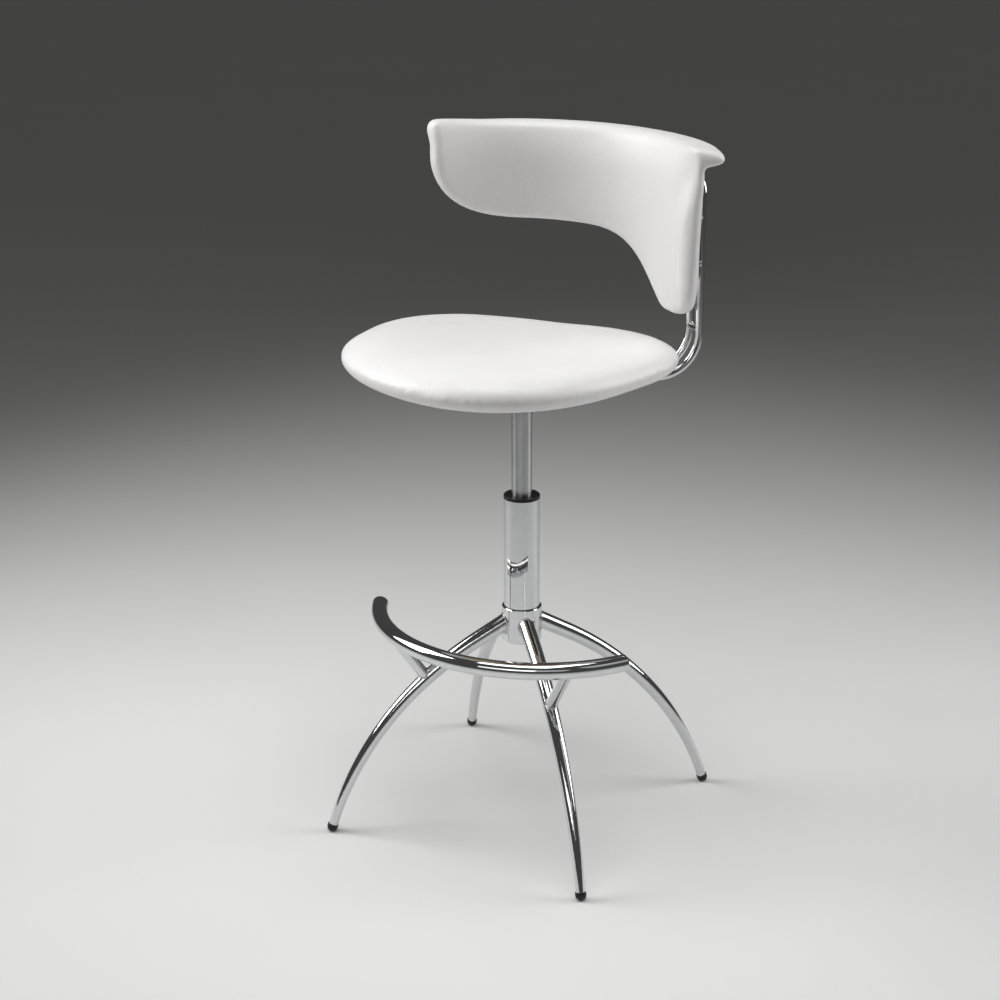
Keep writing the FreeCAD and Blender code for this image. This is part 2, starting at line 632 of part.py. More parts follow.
def make_hoop():
    """One bent rod: up from under the seat, over the top and down again beside itself."""
    reach = s.hoop_radius.value
    level = s.hoop_level.value
    bend = s.hoop_bend.value
    side = s.hoop_spread.value
    top = s.hoop_top.value
    lean = math.sqrt(0.5)
    edges = []
    for y in (-side, side):
        inner = FreeCAD.Vector(s.hoop_inner_end.value, y, level)
        low = FreeCAD.Vector(reach - bend, y, level)
        mid = FreeCAD.Vector(reach - bend * (1 - lean), y, level + bend * (1 - lean))
        high = FreeCAD.Vector(reach, y, level + bend)
        end = FreeCAD.Vector(reach, y, top)
        half = [Part.LineSegment(inner, low), Part.Arc(low, mid, high), Part.LineSegment(high, end)]
        if y < 0:
            start = inner
            over = Part.Arc(end, FreeCAD.Vector(reach, 0, top + side), FreeCAD.Vector(reach, side, top))
            edges = half + [over]
        else:
            edges += half[::-1]
    hoop = part_feature("back_hoop", swept_rod(edges, s.hoop_rod.value, start, X_AXIS), SEAT_TURN)

    tie_half = s.hoop_spread.value
    tie = Part.makeCylinder(s.tie_radius.value, tie_half * 2,
                            FreeCAD.Vector(reach, -tie_half, s.tie_height.value), Y_AXIS)
    cut("hoop_tie", part_feature("hoop_tie", tie, SEAT_TURN), [hoop])


def make_clamp():
    """Two grooved blocks that hold the hoop's ends under the seat plate."""
    half = s.clamp_half_width
    grooves = []
    for i, side in enumerate((-1, 1)):
        groove = doc.addObject("Part::Cylinder", f"clamp_groove_{i}")
        bind(groove, "Radius", s.hoop_rod)
        bind(groove, "Height", s.clamp_far - s.clamp_near + 4.0)
        centre = FreeCAD.Vector(s.clamp_near.value - 2.0, side * s.hoop_spread.value, s.hoop_level.value)
        groove.Placement = FreeCAD.Placement(centre, FreeCAD.Rotation(Y_AXIS, 90))
        grooves.append(groove)
    for label, low, high in (("hoop_clamp_lower", s.clamp_bottom, s.hoop_level),
                             ("hoop_clamp_upper", s.hoop_level, s.plate_bottom)):
        block = slab(label, s.clamp_near, s.clamp_far, -half, half, low, high - low)
        drill(block, clamp_screw_places(), s.clamp_screw_radius, low, high)
        cut(label, block, grooves).Placement = upright(SEAT_TURN)
    screw_group("clamp_screws", clamp_screw_places(), s.clamp_bottom - 4.0, s.clamp_bottom,
                s.clamp_screw_head, s.plate_bottom + s.plate_depth, s.clamp_screw_radius)


def lower_edge(angle):
    """Height of the pad's lower edge round the back: a tongue at the hoop, then a shallow wing."""
    height = s.tongue_bottom.value
    rise = s.wing_bottom.value - height
    if angle > 7.0:
        height += rise * (1 - math.exp(-(((angle - 7.0) / 18.5) ** 1.7)))
    if angle > 69.0:
        share = min((angle - 69.0) / 40.0, 1.0)
        height += 120.0 * (1 - (1 - share ** 2.6) ** (1 / 2.6))
    if angle < 3.5:
        share = min((3.5 - angle) / 22.4, 1.0)
        height += 62.0 * (1 - math.sqrt(1 - share ** 2))
    return height


def crest_rise(angle):
    """How far the top edge stands above or below its middle height: it climbs towards the wing's tip."""
    share = min(max((angle - 20.0) / 90.0, 0.0), 1.0)
    return s.crest_drop.value * (2.12 * share ** 1.3 - 1)


def section_wire(angle, points):
    """A closed section in the upright plane at one angle round the back, from (radius, height)."""
    heading = math.radians(angle)
    places = [FreeCAD.Vector(r * math.cos(heading), r * math.sin(heading), z) for r, z in points]
    return Part.makePolygon(places + places[:1])


def pad_section(angle):
    """The pad's section: a full round below, flat faces, and a lip that rolls outwards on top."""
    inner = s.pad_inner.value
    outer = s.pad_outer.value
    mid = (inner + outer) / 2
    half = (outer - inner) / 2
    low = lower_edge(angle)
    top = s.pad_top.value + crest_rise(angle)
    lip_top = s.lip_top.value + crest_rise(angle)
    lip_bottom = s.lip_bottom.value + crest_rise(angle)
    start = s.lip_taper_start.value
    share = max(angle - start, 0.0) / (s.pad_far_angle.value - start)
    lip = s.lip_radius.value - s.lip_taper.value * share ** 1.5
    lip_mid = (lip_top + lip_bottom) / 2
    round_low = [(mid + half * math.cos(a), low + half * (1 + math.sin(a)))
                 for a in (math.radians(d) for d in (180, 225, 270, 315, 360))]
    web = lip_bottom - 9.0
    face = [(outer, web), (outer + (lip - outer) / 6, web + 7.0),
            (outer + (lip - outer) * 0.6, lip_bottom),
            (lip - 3.0, lip_mid - 9.0), (lip, lip_mid), (lip - 3.5, lip_mid + 8.5),
            (outer + (lip - outer) * 0.53, lip_top), (mid + 12.0, top - 2.5), (mid, top),
            (inner + 4.0, top - 3.0), (inner, top - 11.0)]
    return section_wire(angle, round_low + face)


def make_backrest():
    near = s.pad_near_angle.value
    far = s.pad_far_angle.value
    stations = [near, near + 2.5, near + 6.0, -8.0, -2.0, 4.0, 9.0, 13.0, 17.0, 21.0, 26.0, 32.0, 40.0,
                52.0, 66.0, 80.0, 90.0, 98.0, 103.0, 107.0, far]
    pad = Part.makeLoft([pad_section(angle) for angle in stations], True, True)

    inset = s.panel_inset.value
    outer = s.pad_outer.value
    back = outer - s.panel_depth.value
    high = s.lip_bottom.value - 22.0
    inset_angle = math.degrees(inset / outer)
    sections = []
    panel_stations = [near + inset_angle, -8.0, -2.0, 4.0, 9.0, 13.0, 17.0, 21.0, 26.0, 32.0, 40.0, 52.0,
                      66.0, 80.0, 90.0, 98.0, far - inset_angle]
    for angle in panel_stations:
        low = lower_edge(angle) + inset
        corners = [(back, low), (outer, low), (outer, high), (back, high)]
        sections.append(section_wire(angle, corners))
    panel = Part.makeLoft(sections, True, True)
    return pad, panel


def bracket_screws(grow, start, stop):
    """Screw shanks through the bracket into the back panel, between two distances from the axis."""
    shanks = []
    centre = (s.bracket_low.value + s.bracket_high.value) / 2
    for side in (-1, 1):
        for rise in (-1, 1):
            heading = math.radians(side * s.bracket_screw_angle.value)
            out = FreeCAD.Vector(math.cos(heading), math.sin(heading), 0)
            foot = out * start + Z_AXIS * (centre + rise * s.bracket_screw_rise.value)
            shanks.append(Part.makeCylinder(grow, stop - start, foot, out))
    return shanks


def make_backrest_parts():
    pad, panel = make_backrest()
    outer = s.bracket_outer.value
    shank = s.bracket_screw_radius.value
    reach = s.pad_outer.value - s.bracket_screw_reach.value
    holes = Part.makeCompound(bracket_screws(shank, reach, outer + 1.0))
    part_feature("backrest_pad", pad.cut(panel).cut(holes), SEAT_TURN)
    part_feature("backrest_panel", panel.cut(holes), SEAT_TURN)

    body = new_body("bracket_blank")
    sketch = new_sketch(body, "XZ_Plane", "Profile")
    draw_outline(sketch, [(s.pad_outer, s.bracket_low), (s.bracket_outer, s.bracket_low),
                          (s.bracket_outer, s.bracket_high), (s.pad_outer, s.bracket_high)])
    revolve = add_revolve(body, sketch)
    revolve.Midplane = True
    bind(revolve, "Angle", s.bracket_half_angle * 2)
    tool = part_feature("bracket_holes", holes)
    cut("backrest_bracket", body, [tool]).Placement = upright(SEAT_TURN)

    screws = []
    shafts = bracket_screws(shank, reach, outer)
    heads = bracket_screws(s.bracket_screw_head.value, outer, outer + s.bracket_screw_cap.value)
    for shaft, head in zip(shafts, heads):
        screws.append(shaft.fuse(head).removeSplitter())
    part_feature("backrest_screws", Part.makeCompound(screws), SEAT_TURN)


# ---------------------------------------------------------------- the stool

NODES = ["hub", "footrest", "footrest_strut_left", "footrest_strut_right", "footrest_plug_left",
         "footrest_plug_right", "column_tube", "column_sleeve", "column_base_disc", "guide_bushing",
         "bearing_lower_race", "bearing_balls", "bearing_upper_race", "bump_stop", "piston_rod", "piston",
         "rod_clip", "pressure_cylinder", "cylinder_gland", "valve_pin", "taper_socket",
         "mechanism_housing", "seat_plate", "seat_bolts", "release_lever", "lever_grip",
         "lever_pivot_pin", "seat_cushion", "seat_board", "back_hoop", "hoop_tie", "hoop_clamp_lower",
         "hoop_clamp_upper", "clamp_screws", "backrest_pad", "backrest_panel", "backrest_bracket",
         "backrest_screws"]
NODES += [f"leg_{place}" for place in LEG_ANGLES]
NODES += [f"glide_{place}" for place in LEG_ANGLES]


def build():
    make_hub()
    for place, angle in LEG_ANGLES.items():
        make_leg(f"leg_{place}", angle)
        make_glide(f"glide_{place}", angle)
    make_footrest()
    bar = ring_torus("strut_coping", s.ring_tube_radius)
    make_strut("footrest_strut_left", LEG_ANGLES["front_left"], bar)
    make_strut("footrest_strut_right", LEG_ANGLES["front_right"], bar)
    make_ring_plug("footrest_plug_left", -s.ring_left_angle.value, -1)
    make_ring_plug("footrest_plug_right", s.ring_right_angle.value, 1)
    make_column()
    make_lift_rod()
    make_cylinder()
    make_socket()
    make_housing()
    make_seat_plate()
    make_lever()
    make_seat()
    make_hoop()
    make_clamp()
    make_backrest_parts()
    doc.recompute()


def check_and_write():
    for item in doc.Objects:
        if "Invalid" in item.State or "Error" in item.State:
            raise RuntimeError(f"{item.Label}: {item.State}")
    labelled = {item.Label: item for item in doc.Objects}
    for node in NODES:
        shape = labelled[node].Shape
        if shape.isNull() or not shape.isValid() or not shape.Solids:
            raise RuntimeError(f"{node}: no valid solid")
    os.makedirs("parts", exist_ok=True)
    for node in NODES:
        labelled[node].Shape.exportStep(f"parts/{node}.step")


doc = FreeCAD.newDocument("swivel_stool")
s = make_sheet()
build()
check_and_write()
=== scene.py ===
"""Looks for the swivel stool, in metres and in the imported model's own frame."""

import json
import math

import bpy
import numpy as np
from mathutils import Matrix, Vector
from mathutils.bvhtree import BVHTree


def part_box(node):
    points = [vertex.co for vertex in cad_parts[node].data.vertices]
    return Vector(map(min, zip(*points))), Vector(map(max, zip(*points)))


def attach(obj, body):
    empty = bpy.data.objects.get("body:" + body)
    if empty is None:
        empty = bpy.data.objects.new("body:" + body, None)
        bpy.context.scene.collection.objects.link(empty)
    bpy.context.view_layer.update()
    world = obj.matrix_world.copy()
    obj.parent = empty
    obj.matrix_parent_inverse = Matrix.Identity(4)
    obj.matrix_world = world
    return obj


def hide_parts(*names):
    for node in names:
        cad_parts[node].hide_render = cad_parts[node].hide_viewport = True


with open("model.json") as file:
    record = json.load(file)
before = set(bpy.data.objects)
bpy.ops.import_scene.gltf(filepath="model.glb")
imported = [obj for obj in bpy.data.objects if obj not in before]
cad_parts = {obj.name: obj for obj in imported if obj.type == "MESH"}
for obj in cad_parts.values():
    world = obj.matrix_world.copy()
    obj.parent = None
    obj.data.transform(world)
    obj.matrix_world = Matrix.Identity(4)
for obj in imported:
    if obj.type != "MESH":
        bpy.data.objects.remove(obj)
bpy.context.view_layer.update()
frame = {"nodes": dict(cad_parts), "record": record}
nodes = frame["nodes"]
scene = bpy.context.scene
MM = 0.001
SEAT_TURN = math.radians(45.0)


# ---------------------------------------------------------------- node materials

class Shader:
    """A material's node tree, built by name."""

    def __init__(self, name, color, roughness, metallic=0.0):
        self.material = bpy.data.materials.new(name)
        self.material.use_nodes = True
        self.tree = self.material.node_tree
        self.surface = next(n for n in self.tree.nodes if n.type == "BSDF_PRINCIPLED")
        self.set(self.surface, {"Base Color": (*color, 1.0), "Roughness": roughness,
                                "Metallic": metallic})
        self.material.diffuse_color = (*color, 1.0)
        self.place = self.node("ShaderNodeTexCoord").outputs["Object"]

    def set(self, node, values):
        for name, value in values.items():
            node.inputs[name].default_value = value

    def node(self, kind, values=None, **settings):
        made = self.tree.nodes.new(kind)
        for name, value in settings.items():
            setattr(made, name, value)
        self.set(made, values or {})
        return made

    def link(self, source, target):
        self.tree.links.new(source, target)

    def stretched(self, scale, turn=(0.0, 0.0, 0.0)):
        """Object coordinates, scaled and turned."""
        made = self.node("ShaderNodeMapping", {"Scale": scale, "Rotation": turn})
        self.link(self.place, made.inputs["Vector"])
        return made.outputs["Vector"]

    def noise(self, scale, detail=4.0, roughness=0.55, place=None, distortion=0.0):
        made = self.node("ShaderNodeTexNoise", {"Scale": scale, "Detail": detail,
                                                "Roughness": roughness, "Distortion": distortion})
        self.link(place or self.place, made.inputs["Vector"])
        return made.outputs["Fac"]

    def cells(self, scale, feature="F1", place=None, jitter=1.0):
        made = self.node("ShaderNodeTexVoronoi", {"Scale": scale, "Randomness": jitter},
                         feature=feature)
        self.link(place or self.place, made.inputs["Vector"])
        return made.outputs["Distance"]

    def ramp(self, source, low, high, out_low=0.0, out_high=1.0):
        made = self.node("ShaderNodeMapRange", {"From Min": low, "From Max": high,
                                                "To Min": out_low, "To Max": out_high})
        self.link(source, made.inputs["Value"])
        return made.outputs["Result"]

    def sum(self, *sources):
        total = sources[0]
        for source in sources[1:]:
            made = self.node("ShaderNodeMath", operation="ADD")
            self.link(total, made.inputs[0])
            self.link(source, made.inputs[1])
            total = made.outputs[0]
        return total

    def times(self, one, other):
        made = self.node("ShaderNodeMath", operation="MULTIPLY")
        self.link(one, made.inputs[0])
        if isinstance(other, float):
            made.inputs[1].default_value = other
        else:
            self.link(other, made.inputs[1])
        return made.outputs[0]

    def blend(self, share, one, other):
        """Base colour between two colours, by share; either may be another colour output."""
        made = self.node("ShaderNodeMix", data_type="RGBA")
        self.link(share, made.inputs[0])
        for slot, color in ((6, one), (7, other)):
            if isinstance(color, tuple):
                made.inputs[slot].default_value = (*color, 1.0)
            else:
                self.link(color, made.inputs[slot])
        return made.outputs[2]

    def colour(self, output):
        self.link(output, self.surface.inputs["Base Color"])

    def rough(self, output):
        self.link(output, self.surface.inputs["Roughness"])

    def bump(self, height, strength, distance):
        """Adds one layer of relief under the layers already there."""
        made = self.node("ShaderNodeBump", {"Strength": strength, "Distance": distance})
        self.link(height, made.inputs["Height"])
        target = self.surface.inputs["Normal"]
        if target.is_linked:
            self.link(target.links[0].from_socket, made.inputs["Normal"])
        self.link(made.outputs["Normal"], target)

    def worn_edges(self, radius):
        """1 on outer edges, 0 elsewhere."""
        bevel = self.node("ShaderNodeBevel", {"Radius": radius}, samples=4)
        shape = self.node("ShaderNodeNewGeometry")
        dot = self.node("ShaderNodeVectorMath", operation="DOT_PRODUCT")
        self.link(bevel.outputs["Normal"], dot.inputs[0])
        self.link(shape.outputs["Normal"], dot.inputs[1])
        return self.ramp(dot.outputs["Value"], 0.995, 0.90)


def chrome_material():
    made = Shader("chrome", (0.66, 0.665, 0.67), 0.05, metallic=1.0)
    smears = made.noise(16.0, detail=5.0, roughness=0.6, distortion=0.6)
    specks = made.noise(900.0, detail=2.0)
    made.rough(made.sum(made.ramp(smears, 0.35, 0.75, 0.022, 0.075),
                        made.ramp(specks, 0.62, 0.8, 0.0, 0.05)))
    haze = made.noise(55.0, detail=3.0)
    made.colour(made.blend(made.ramp(haze, 0.3, 0.8), (0.67, 0.675, 0.68), (0.61, 0.615, 0.625)))
    made.bump(made.noise(24.0, detail=2.0), 0.05, 0.0006)
    made.bump(specks, 0.02, 0.0001)
    return made.material


def weld_material():
    made = Shader("chrome_weld", (0.62, 0.62, 0.62), 0.16, metallic=1.0)
    pits = made.noise(700.0, detail=4.0, roughness=0.7)
    made.rough(made.ramp(pits, 0.3, 0.8, 0.10, 0.38))
    made.colour(made.blend(made.ramp(pits, 0.35, 0.75), (0.70, 0.69, 0.67), (0.38, 0.36, 0.34)))
    made.bump(pits, 0.5, 0.0006)
    return made.material


def black_plastic_material():
    made = Shader("black_plastic", (0.018, 0.018, 0.019), 0.42)
    made.set(made.surface, {"Specular IOR Level": 0.3})
    grain = made.cells(1500.0)
    made.rough(made.ramp(made.noise(60.0), 0.3, 0.75, 0.34, 0.54))
    made.colour(made.blend(made.ramp(made.worn_edges(0.0009), 0.2, 1.0), (0.011, 0.011, 0.012),
                           (0.040, 0.040, 0.041)))
    made.bump(grain, 0.16, 0.0003)
    return made.material


def satin_cylinder_material():
    made = Shader("satin_steel", (0.46, 0.465, 0.47), 0.30, metallic=1.0)
    lines = made.noise(90.0, detail=6.0, roughness=0.7, place=made.stretched((0.35, 0.35, 26.0)))
    made.set(made.surface, {"Anisotropic": 0.85, "Anisotropic Rotation": 0.25})
    made.rough(made.ramp(lines, 0.3, 0.7, 0.26, 0.36))
    made.colour(made.blend(made.ramp(made.noise(30.0), 0.3, 0.7), (0.56, 0.565, 0.57),
                           (0.48, 0.485, 0.495)))
    made.bump(lines, 0.06, 0.0002)
    return made.material


def ground_steel_material():
    made = Shader("ground_steel", (0.56, 0.565, 0.57), 0.3, metallic=1.0)
    lines = made.noise(120.0, detail=5.0, place=made.stretched((1.0, 1.0, 18.0)))
    made.rough(made.ramp(lines, 0.3, 0.7, 0.22, 0.42))
    made.colour(made.blend(made.ramp(made.noise(80.0), 0.35, 0.7), (0.58, 0.585, 0.59),
                           (0.45, 0.45, 0.45)))
    made.bump(lines, 0.08, 0.0002)
    return made.material


def powder_coat_material():
    made = Shader("black_powder_coat", (0.022, 0.022, 0.023), 0.46)
    orange_peel = made.noise(650.0, detail=3.0)
    made.rough(made.ramp(made.noise(45.0), 0.3, 0.75, 0.38, 0.58))
    made.colour(made.blend(made.worn_edges(0.0012), (0.021, 0.021, 0.022), (0.16, 0.155, 0.15)))
    made.bump(orange_peel, 0.22, 0.0004)
    return made.material


def machined_aluminium_material():
    made = Shader("machined_aluminium", (0.70, 0.71, 0.72), 0.32, metallic=1.0)
    lines = made.noise(140.0, detail=5.0, place=made.stretched((1.0, 14.0, 1.0), (0.0, 0.0, -SEAT_TURN)))
    made.rough(made.ramp(lines, 0.3, 0.7, 0.26, 0.46))
    made.colour(made.blend(made.worn_edges(0.001), (0.66, 0.67, 0.68), (0.86, 0.87, 0.88)))
    made.bump(lines, 0.1, 0.0002)
    return made.material


def zinc_material():
    made = Shader("zinc_plate", (0.64, 0.65, 0.66), 0.34, metallic=1.0)
    spangle = made.cells(420.0)
    made.rough(made.ramp(spangle, 0.1, 0.8, 0.26, 0.46))
    made.colour(made.blend(made.noise(260.0), (0.70, 0.71, 0.70), (0.50, 0.51, 0.53)))
    made.bump(spangle, 0.05, 0.0002)
    return made.material


def rubber_material():
    made = Shader("rubber", (0.024, 0.024, 0.024), 0.7)
    made.rough(made.ramp(made.noise(220.0), 0.3, 0.7, 0.6, 0.82))
    made.colour(made.blend(made.noise(90.0), (0.020, 0.020, 0.020), (0.036, 0.035, 0.034)))
    made.bump(made.noise(900.0, detail=3.0), 0.2, 0.0002)
    return made.material


def plywood_material():
    made = Shader("plywood", (0.62, 0.47, 0.30), 0.62)
    grain = made.noise(26.0, detail=8.0, roughness=0.65, distortion=0.5,
                       place=made.stretched((1.0, 9.0, 1.0), (0.0, 0.0, 0.35)))
    pores = made.noise(700.0, detail=2.0, place=made.stretched((1.0, 0.09, 1.0), (0.0, 0.0, 0.35)))
    made.rough(made.ramp(grain, 0.3, 0.7, 0.52, 0.74))
    made.colour(made.blend(made.ramp(grain, 0.3, 0.72), (0.68, 0.52, 0.34), (0.46, 0.31, 0.17)))
    made.bump(pores, 0.25, 0.0003)
    return made.material


def leather_material(name="white_leather"):
    """White upholstery leather: fine pebble grain, pores, faint creases with painted shade in them, and a
    soft top coat.
    """
    made = Shader(name, (0.80, 0.795, 0.78), 0.46)
    warp = made.noise(60.0, detail=3.0)
    pebble = made.cells(620.0, feature="SMOOTH_F1")
    fine = made.cells(1500.0)
    pores = made.noise(2600.0, detail=2.0)
    creases = made.cells(38.0, feature="DISTANCE_TO_EDGE", place=made.stretched((1.0, 1.6, 1.0)))
    crease_and_painted_shade = made.ramp(creases, 0.0, 0.035, 1.0, 0.0)
    broad = made.noise(7.0, detail=4.0)
    clean = made.blend(made.ramp(broad, 0.3, 0.72), (0.815, 0.81, 0.797), (0.775, 0.768, 0.75))
    dusty = made.blend(made.ramp(pebble, 0.45, 0.85), clean, (0.745, 0.738, 0.722))
    # Painted shade: the base colour darkens towards (0.60, 0.58, 0.55) along the pressed-in creases; the
    # same crease mask also adds roughness and relief.
    made.colour(made.blend(made.times(made.times(crease_and_painted_shade, warp), 0.10), dusty, (0.60, 0.58, 0.55)))
    made.rough(made.sum(made.ramp(warp, 0.3, 0.75, 0.38, 0.52), made.times(crease_and_painted_shade, 0.05)))
    made.set(made.surface, {"Specular IOR Level": 0.5, "Coat Weight": 0.10, "Coat Roughness": 0.32,
                            "Sheen Weight": 0.04, "Sheen Roughness": 0.5})
    made.bump(pores, 0.05, 0.0001)
    made.bump(fine, 0.07, 0.00016)
    made.bump(pebble, 0.11, 0.0003)
    made.bump(made.times(crease_and_painted_shade, warp), -0.05, 0.0003)
    return made.material


MATERIALS = {
    "chrome": chrome_material(),
    "black_plastic": black_plastic_material(),
    "satin_steel": satin_cylinder_material(),
    "steel": ground_steel_material(),
    "black_steel": powder_coat_material(),
    "aluminium": machined_aluminium_material(),
    "zinc_screws": zinc_material(),
    "rubber": rubber_material(),
    "plywood": plywood_material(),
    "white_leather": leather_material(),
}
WELD = weld_material()

for row in frame["record"]["subparts"]:
    node = nodes[row["node"]]
    for holder in node.material_slots:
        holder.link = "OBJECT"
        holder.material = MATERIALS[row["material_slot"]]


# ---------------------------------------------------------------- mesh helpers

def mesh_piece(name, points, faces, material, smooth=True):
    mesh = bpy.data.meshes.new(name)
    mesh.from_pydata([tuple(p) for p in points], [], faces)
    mesh.update()
    piece = bpy.data.objects.new(name, mesh)
    scene.collection.objects.link(piece)
    mesh.materials.append(material)
    mesh.polygons.foreach_set("use_smooth", [smooth] * len(mesh.polygons))
    return piece


def grid_faces(rows, columns, rows_close=False, columns_close=False):
    """Quads between neighbouring rows and columns of a grid of points, numbered row by row."""
    faces = []
    for i in range(rows if rows_close else rows - 1):
        for j in range(columns if columns_close else columns - 1):
            k = (i + 1) % rows
            m = (j + 1) % columns
            faces.append((i * columns + j, i * columns + m, k * columns + m, k * columns + j))
    return faces


def end_caps(count, total):
    """The two faces that close a grid of points whose rows of count points close on themselves."""
    return [tuple(range(count))[::-1], tuple(range(total - count, total))]


def read_points(mesh):
    values = np.empty(len(mesh.vertices) * 3, np.float32)
    mesh.vertices.foreach_get("co", values)
    return values.reshape(-1, 3).astype(float)


def write_points(mesh, points):
    mesh.vertices.foreach_set("co", points.astype(np.float32).ravel())
    mesh.update()


def settle_modifiers(piece):
    """Turn the piece's modifiers into its mesh."""
    graph = bpy.context.evaluated_depsgraph_get()
    mesh = bpy.data.meshes.new_from_object(piece.evaluated_get(graph), depsgraph=graph)
    piece.modifiers.clear()
    piece.data = mesh


def even_out(piece, voxel, passes):
    """Remesh the closed shape evenly and ease the steps that leaves."""
    remesh = piece.modifiers.new("remesh", "REMESH")
    remesh.mode = "VOXEL"
    remesh.voxel_size = voxel
    remesh.use_smooth_shade = True
    ease = piece.modifiers.new("ease", "SMOOTH")
    ease.factor = 0.5
    ease.iterations = passes
    settle_modifiers(piece)


def spread_out(mesh, values, fixed, passes):
    """Average each vertex's value with its neighbours', many times, with the fixed ones at zero."""
    edges = np.empty(len(mesh.edges) * 2, np.int32)
    mesh.edges.foreach_get("vertices", edges)
    one, other = edges.reshape(-1, 2).T
    size = len(values)
    around = np.bincount(edges, minlength=size)[:, None]
    for _ in range(passes):
        total = [np.bincount(one, values[other, k], size) + np.bincount(other, values[one, k], size)
                 for k in range(3)]
        values = 0.5 * values + 0.5 * np.stack(total, axis=1) / around
        values[fixed] = 0.0
    return values


def swell(piece, pressure, cap, held, passes):
    """Press the cover outwards from inside with the held points fixed; cap and ease the travel."""
    rest = read_points(piece.data)
    fixed = held(rest)
    group = piece.vertex_groups.new(name="held")
    group.add([int(i) for i in np.nonzero(fixed)[0]], 1.0, "REPLACE")
    cloth = piece.modifiers.new("cloth", "CLOTH")
    cloth.settings.quality = 6
    cloth.settings.mass = 0.25
    cloth.settings.tension_stiffness = 14.0
    cloth.settings.compression_stiffness = 14.0
    cloth.settings.bending_stiffness = 2.0
    cloth.settings.use_pressure = True
    cloth.settings.uniform_pressure_force = pressure
    cloth.settings.effector_weights.gravity = 0.0
    cloth.settings.vertex_group_mass = "held"
    cloth.collision_settings.use_collision = False
    cloth.point_cache.frame_start = 1
    cloth.point_cache.frame_end = 20
    for step in range(1, 21):
        scene.frame_set(step)
    graph = bpy.context.evaluated_depsgraph_get()
    moved = read_points(piece.evaluated_get(graph).data)
    piece.modifiers.clear()
    scene.frame_set(1)
    travel = moved - rest
    length = np.linalg.norm(travel, axis=1, keepdims=True)
    travel *= np.minimum(1.0, cap / np.maximum(length, 1e-9))
    write_points(piece.data, rest + spread_out(piece.data, travel, fixed, 70))
    ease = piece.modifiers.new("ease", "SMOOTH")
    ease.factor = 0.5
    ease.iterations = passes
    settle_modifiers(piece)
    finer = piece.modifiers.new("finer", "SUBSURF")
    finer.levels = 1
    finer.render_levels = 1


# ---------------------------------------------------------------- seat cushion
# Lengths from here to the welds are millimetres and angles are degrees, unless a name says otherwise.

SEAT_HALF_WIDTH, SEAT_HALF_DEPTH, SEAT_SQUARENESS = 218.1, 190.8, 2.37
SEAT_LOBE, SEAT_LOBE_ANGLE = 14.0, 40.4
SEAT_CORNER, SEAT_CORNER_ANGLE, SEAT_CORNER_WIDTH = 7.5, 33.0, 16.0
SEAT_FULLER = ((99.0, 14.0, 6.0), (209.0, 26.0, 3.5), (29.0, 13.0, 2.5))  # angle, width, extra reach
SEAT_WAIST = 16.5            # height of the widest ring above the underside
SEAT_TURN_UNDER = 29.0       # how far the rim rolls in under the seat
SEAT_CROWN, SEAT_CROWN_RUN, SEAT_CROWN_POWER = 24.3, 118.0, 1.95
SEAT_TUCK = 44.0             # inset of the underside's opening for the board
SEAT_INNER = 59.0            # inset where the top's rings start to draw to the middle
SEAT_DRAW = 110.0            # how much further in the last of those rings lies
SHOULDER, SHOULDER_RUN, SHOULDER_ANGLE = 6.5, 22.0, 298.0


def seat_reach(turn):
    """The seat outline's distance from its centre."""
    flat = ((np.abs(np.cos(turn)) / SEAT_HALF_WIDTH) ** SEAT_SQUARENESS
            + (np.abs(np.sin(turn)) / SEAT_HALF_DEPTH) ** SEAT_SQUARENESS)
    away = np.abs(np.mod(turn, 2 * math.pi) - math.radians(SEAT_CORNER_ANGLE))
    away = np.minimum(away, 2 * math.pi - away) / math.radians(SEAT_CORNER_WIDTH)
    return (flat ** (-1 / SEAT_SQUARENESS) + SEAT_LOBE * np.cos(3 * (turn - math.radians(SEAT_LOBE_ANGLE)))
            + SEAT_CORNER * np.exp(-away ** 2 / 2))


def seat_centre():
    """Where the outline's centre lies, from the cushion's own box."""
    turn = np.linspace(0, 2 * math.pi, 720, endpoint=False)
    reach = seat_reach(turn)
    x, y = reach * np.cos(turn) * MM, reach * np.sin(turn) * MM
    low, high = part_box("seat_cushion")
    return ((low.x + high.x - x.min() - x.max()) / 2, (low.y + high.y - y.min() - y.max()) / 2)


def seat_rings(rows, count, wave=None):
    """Points on rings round the seat; each row is an inset, a share drawn to the middle, a height.

    A wave adds a height that depends on the angle and on the distance in from the outline."""
    turn = np.linspace(0, 2 * math.pi, count, endpoint=False)
    centre = seat_centre()
    fuller = np.zeros(count)
    for middle, width, extra in SEAT_FULLER:
        fuller += extra * np.exp(-((np.degrees(turn) - middle) / width) ** 2 / 2)
    rings = []
    for inset, share, height in rows:
        reach = (seat_reach(turn) + fuller - inset) * (1 - share)
        lift = np.zeros(count) if wave is None else wave(turn, inset + SEAT_DRAW * share)
        rings.append(np.stack([centre[0] + reach * np.cos(turn) * MM,
                               centre[1] + reach * np.sin(turn) * MM,
                               (height + lift) * MM], axis=1))
    return np.concatenate(rings)


def seat_shoulder(turn, inset):
    """Extra height that makes the cushion's front roll over its edge more fully than its back."""
    facing = (0.5 + 0.5 * np.cos(turn - math.radians(SHOULDER_ANGLE))) ** 1.5
    share = max(inset, 0.0) / SHOULDER_RUN
    return SHOULDER * facing * (share * math.exp(1.0 - share)) ** 0.8


def seat_crown(inset):
    return SEAT_CROWN * rounding(inset, SEAT_CROWN_RUN, SEAT_CROWN_POWER)


